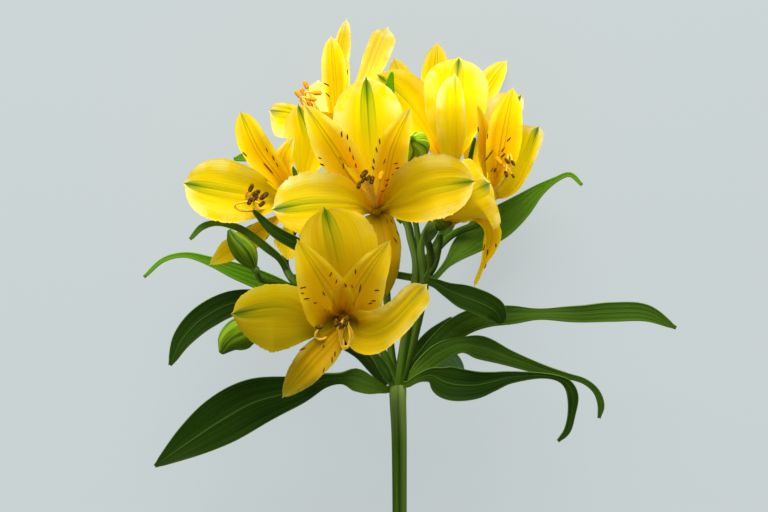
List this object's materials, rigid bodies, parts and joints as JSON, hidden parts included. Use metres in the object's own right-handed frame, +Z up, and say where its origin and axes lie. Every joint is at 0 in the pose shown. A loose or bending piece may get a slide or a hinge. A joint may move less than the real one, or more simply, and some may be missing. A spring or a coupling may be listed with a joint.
{
  "type": "cut alstroemeria stem",
  "caption": "Cut alstroemeria stem lying on a surface, with open yellow blooms on rays, green buds and narrow curling leaves.",
  "frame": {"origin": "middle of the bottom of the bounding box, on the surface that the stem lies on", "axes": "+Z up from the surface, +Y along the stem from its cut end to the blooms, +X to the right seen from above"},
  "size_m": [0.2076, 0.2826, 0.1088],
  "materials": {
    "petal": "soft petal, yellow with maroon flecks and green stripes",
    "leaf": "satin dark green leaf",
    "bud": "satin ribbed green bud",
    "stem": "satin green stem"
  },
  "bodies": {
    "root": {"bloom_front": "petal", "bloom_left": "petal", "bloom_lower_right": "petal", "bloom_middle": "petal", "bloom_right": "petal", "bloom_top": "petal", "bloom_top_left": "petal", "bract_behind_left": "leaf", "bract_dark": "leaf", "bract_left": "leaf", "bract_top": "leaf", "bud_left": "bud", "bud_lower": "bud", "bud_top": "bud", "leaf_curled_right": "leaf", "leaf_curved_right": "leaf", "leaf_grey_right": "leaf", "leaf_long_right": "leaf", "leaf_lower_left": "leaf", "leaf_lower_right": "leaf", "leaf_middle_left": "leaf", "leaf_narrow_right": "leaf", "leaf_short": "leaf", "leaf_short_right": "leaf", "leaf_upper_left": "leaf", "leaf_upper_right": "leaf", "stem": "stem"}
  },
  "joints": []
}
